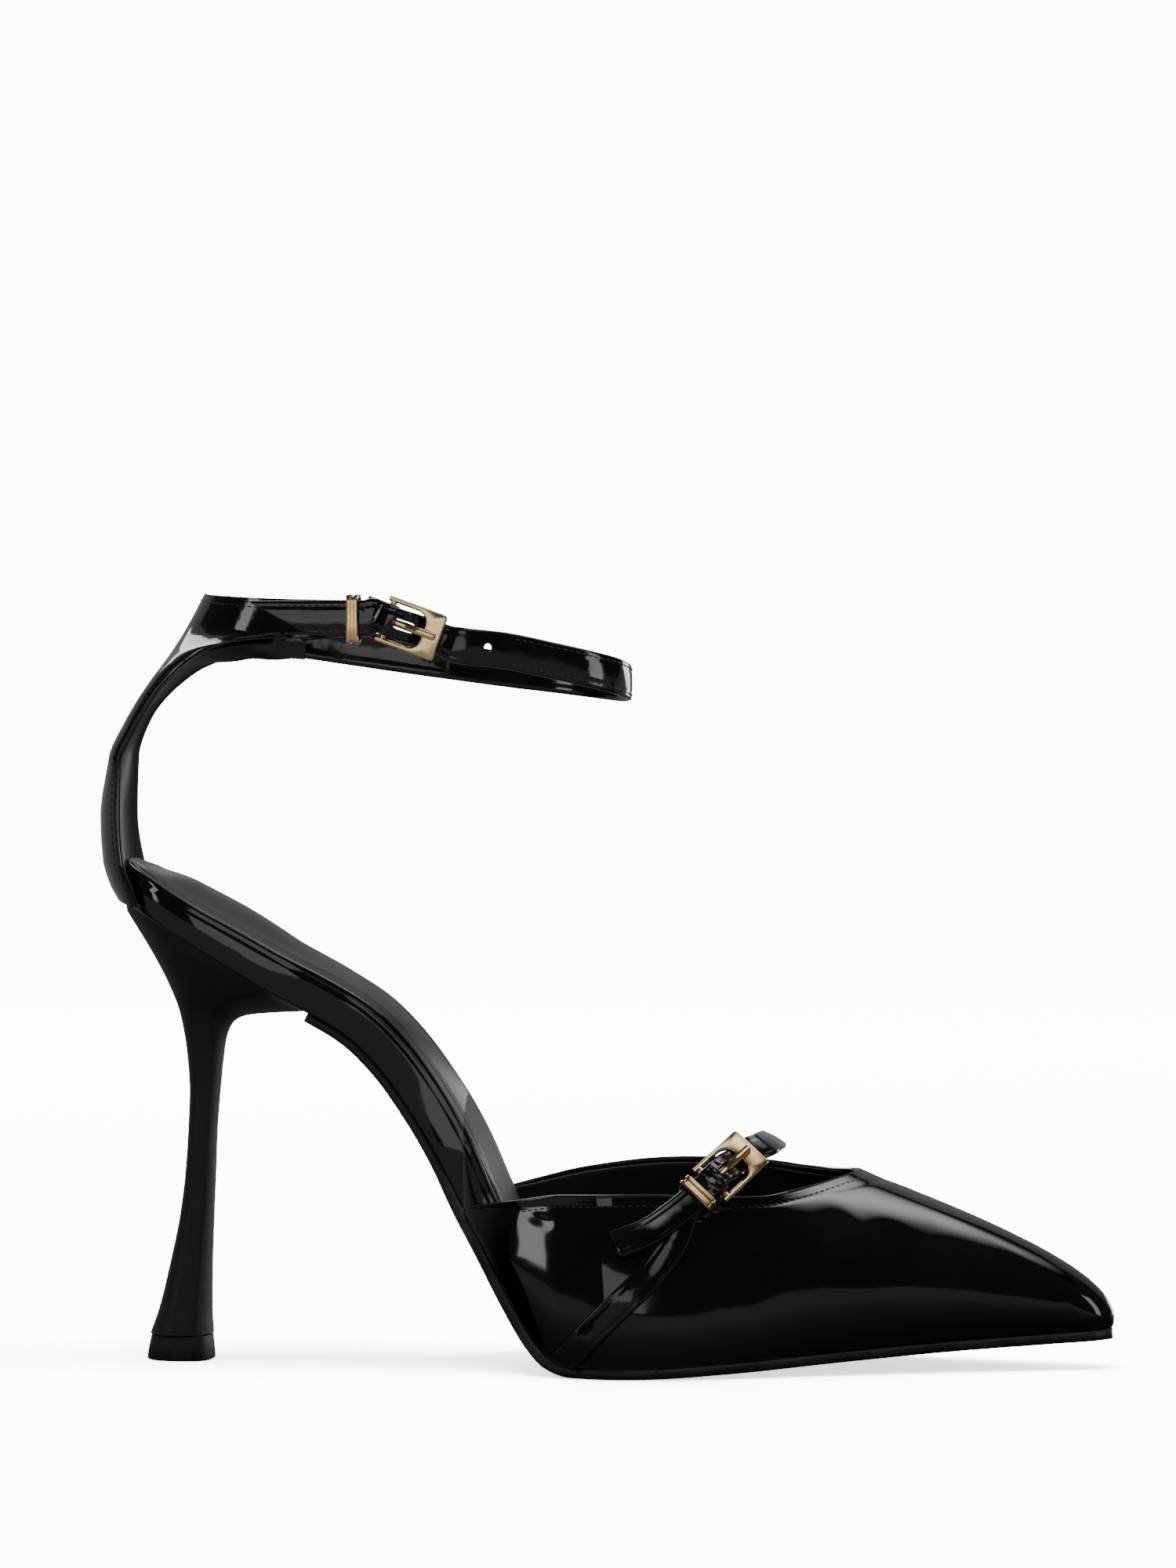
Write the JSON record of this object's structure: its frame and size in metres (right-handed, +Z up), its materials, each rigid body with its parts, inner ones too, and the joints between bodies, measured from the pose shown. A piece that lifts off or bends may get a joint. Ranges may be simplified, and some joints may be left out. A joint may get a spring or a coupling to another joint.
{
  "type": "high heel pump",
  "caption": "Black patent pointed-toe high heel pump with open waist, covered stiletto heel, buckled instep strap and a back strap carrying a buckled ankle strap.",
  "frame": {"origin": "centre of the heel tip's flat face on the floor, under the stiletto heel", "axes": "+X towards the toe, +Y towards the inner side of the foot, +Z up; right shoe"},
  "size_m": [0.2315, 0.0813, 0.1754],
  "materials": {
    "patent_leather": "high-gloss black patent leather",
    "lining_leather": "satin black lining leather",
    "gold_hardware": "polished light rose gold plate",
    "inner_steel": "plain steel",
    "sole_rubber": "matte black",
    "heel_cover": "smooth black leather over a moulded core",
    "fibre_board": "cellulose fibre board",
    "padding": "open foam"
  },
  "bodies": {
    "root": {"vamp_outer": "patent_leather", "insole_rand": "patent_leather", "back_strap_root": "patent_leather", "instep_buckle_tab": "patent_leather", "instep_strap": "patent_leather", "instep_bar_loop": "patent_leather", "sock_lining": "lining_leather", "vamp_lining": "lining_leather", "steel_shank": "inner_steel", "shank_rivet": "inner_steel", "heel_reinforcing_tube": "inner_steel", "top_piece_dowel": "inner_steel", "heel_screw": "inner_steel", "heel_nail_1": "inner_steel", "heel_nail_2": "inner_steel", "heel_nail_3": "inner_steel", "heel_nail_4": "inner_steel", "outsole": "sole_rubber", "top_piece": "sole_rubber", "heel_block": "heel_cover", "insole_board": "fibre_board", "toe_puff": "fibre_board", "footbed_filler": "padding", "heel_cushion": "padding"},
    "ankle_strap": {"back_strap": "patent_leather", "back_strap_lining": "lining_leather", "ankle_strap": "patent_leather", "ankle_bar_loop": "patent_leather"},
    "ankle_buckle": {"ankle_buckle_frame": "gold_hardware"},
    "ankle_prong": {"ankle_buckle_prong": "gold_hardware"},
    "ankle_keeper": {"ankle_keeper": "gold_hardware"},
    "instep_buckle": {"instep_buckle_frame": "gold_hardware"},
    "instep_prong": {"instep_buckle_prong": "gold_hardware"},
    "instep_keeper": {"instep_keeper": "gold_hardware"}
  },
  "joints": [
    {"name": "ankle_strap_flex", "type": "hinge", "parent": "root", "child": "ankle_strap", "pos_m": [-0.01265, 0, 0.1076], "axis": [0, 1, 0], "range_deg": [-15, 15], "stiffness_Nm_per_rad": 0.5},
    {"name": "ankle_buckle_tilt", "type": "hinge", "parent": "ankle_strap", "child": "ankle_buckle", "pos_m": [0.05115, -0.0254, 0.1695], "axis": [-0.3419, 0, -0.9397], "range_deg": [0, 8], "stiffness_Nm_per_rad": 0.02},
    {"name": "ankle_prong_lift", "type": "hinge", "parent": "ankle_buckle", "child": "ankle_prong", "pos_m": [0.05115, -0.0254, 0.1695], "axis": [-0.3419, 0, -0.9397], "range_deg": [0, 8], "stiffness_Nm_per_rad": 0.02},
    {"name": "ankle_keeper_slide", "type": "slide", "parent": "ankle_strap", "child": "ankle_keeper", "axis": [1, 0, 0], "range_m": [-0.0022, 0.0004]},
    {"name": "instep_buckle_tilt", "type": "hinge", "parent": "root", "child": "instep_buckle", "pos_m": [0.12495, -0.0309, 0.0439], "axis": [0.7333, -0.2066, -0.6477], "range_deg": [0, 8], "stiffness_Nm_per_rad": 0.02},
    {"name": "instep_prong_lift", "type": "hinge", "parent": "instep_buckle", "child": "instep_prong", "pos_m": [0.12495, -0.0309, 0.0439], "axis": [0.7333, -0.2066, -0.6477], "range_deg": [0, 8], "stiffness_Nm_per_rad": 0.02},
    {"name": "instep_keeper_slide", "type": "slide", "parent": "root", "child": "instep_keeper", "axis": [0.6625, 0.4316, 0.6123], "range_m": [-0.0008, 0.0004]}
  ]
}
